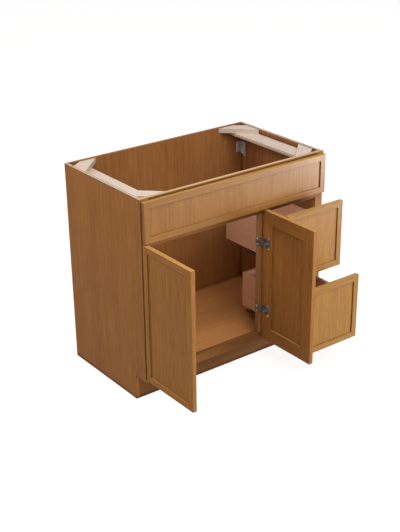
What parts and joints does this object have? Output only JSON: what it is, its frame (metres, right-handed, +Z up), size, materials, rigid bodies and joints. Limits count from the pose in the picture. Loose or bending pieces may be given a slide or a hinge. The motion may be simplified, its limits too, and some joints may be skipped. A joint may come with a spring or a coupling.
{
  "type": "vanity base cabinet",
  "caption": "Face-frame wooden vanity base with an open top, a fixed front, hinged doors over a sink space and a bank of dovetailed drawers beside it.",
  "frame": {"origin": "on the floor, at the middle of the wall side of the back panel", "axes": "+X to the right seen from the front (drawer side), +Y towards the wall, +Z up; the doors and drawers face -Y"},
  "size_m": [0.9144, 0.8375, 0.8763],
  "materials": {
    "stained_wood": "satin clear coat over a medium brown stain, fine straight grain",
    "inner_board": "wood-grain laminate, satin",
    "pale_plywood": "bare sanded plywood",
    "drawer_wood": "clear coated hardwood",
    "zinc_steel": "zinc plated pressed steel",
    "grey_plastic": "moulded",
    "clear_rubber": "soft clear pad"
  },
  "bodies": {
    "cabinet": {"side_left": "stained_wood", "side_right": "stained_wood", "back_panel": "inner_board", "floor_panel": "inner_board", "toe_board": "stained_wood", "stile_left": "stained_wood", "stile_right": "stained_wood", "mullion": "stained_wood", "top_rail": "stained_wood", "middle_rail": "stained_wood", "bottom_rail": "stained_wood", "drawer_rail": "stained_wood", "top_strip_left": "pale_plywood", "top_strip_right": "pale_plywood", "corner_block_front_left": "pale_plywood", "corner_block_front_right": "pale_plywood", "corner_block_rear_left": "pale_plywood", "corner_block_rear_right": "pale_plywood", "rear_corner_brackets": "grey_plastic", "fixed_front_stiles": "stained_wood", "fixed_front_rails": "stained_wood", "fixed_front_panel": "stained_wood", "hinge_arms_left": "zinc_steel", "hinge_arms_right": "zinc_steel", "slide_guides": "zinc_steel"},
    "door_left": {"door_left_hinge_stile": "stained_wood", "door_left_free_stile": "stained_wood", "door_left_rails": "stained_wood", "door_left_panel": "stained_wood", "door_left_hinge_cups": "zinc_steel", "door_left_bumpers": "clear_rubber"},
    "door_right": {"door_right_hinge_stile": "stained_wood", "door_right_free_stile": "stained_wood", "door_right_rails": "stained_wood", "door_right_panel": "stained_wood", "door_right_hinge_cups": "zinc_steel", "door_right_bumpers": "clear_rubber"},
    "upper_drawer": {"upper_front_stiles": "stained_wood", "upper_front_rails": "stained_wood", "upper_front_panel": "stained_wood", "upper_box_front": "drawer_wood", "upper_box_back": "drawer_wood", "upper_box_side_left": "drawer_wood", "upper_box_side_right": "drawer_wood", "upper_box_bottom": "drawer_wood", "upper_runners": "zinc_steel", "upper_bumpers": "clear_rubber"},
    "lower_drawer": {"lower_front_stiles": "stained_wood", "lower_front_rails": "stained_wood", "lower_front_panel": "stained_wood", "lower_box_front": "drawer_wood", "lower_box_back": "drawer_wood", "lower_box_side_left": "drawer_wood", "lower_box_side_right": "drawer_wood", "lower_box_bottom": "drawer_wood", "lower_runners": "zinc_steel", "lower_bumpers": "clear_rubber"},
    "upper_slide_middles": {"upper_slide_middle": "zinc_steel"},
    "lower_slide_middles": {"lower_slide_middle": "zinc_steel"}
  },
  "joints": [
    {"name": "door_left_hinge", "type": "hinge", "parent": "cabinet", "child": "door_left", "pos_m": [-0.4454, -0.5458, 0.408], "axis": [0, 0, -1], "range_deg": [-90, 10]},
    {"name": "door_right_hinge", "type": "hinge", "parent": "cabinet", "child": "door_right", "pos_m": [0.1409, -0.5458, 0.408], "axis": [0, 0, 1], "range_deg": [-90, 0.4]},
    {"name": "upper_drawer_slide", "type": "slide", "parent": "cabinet", "child": "upper_drawer", "axis": [0, -1, 0], "range_m": [-0.108, 0.262]},
    {"name": "lower_drawer_slide", "type": "slide", "parent": "cabinet", "child": "lower_drawer", "axis": [0, -1, 0], "range_m": [-0.221, 0.149]},
    {"name": "upper_middle_slide", "type": "slide", "parent": "cabinet", "child": "upper_slide_middles", "axis": [0, -1, 0], "range_m": [-0.054, 0.131]},
    {"name": "lower_middle_slide", "type": "slide", "parent": "cabinet", "child": "lower_slide_middles", "axis": [0, -1, 0], "range_m": [-0.1105, 0.0745]}
  ],
  "couplings": [
    {"joint": "upper_middle_slide", "follows": "upper_drawer_slide", "ratio": 0.5},
    {"joint": "lower_middle_slide", "follows": "lower_drawer_slide", "ratio": 0.5}
  ]
}
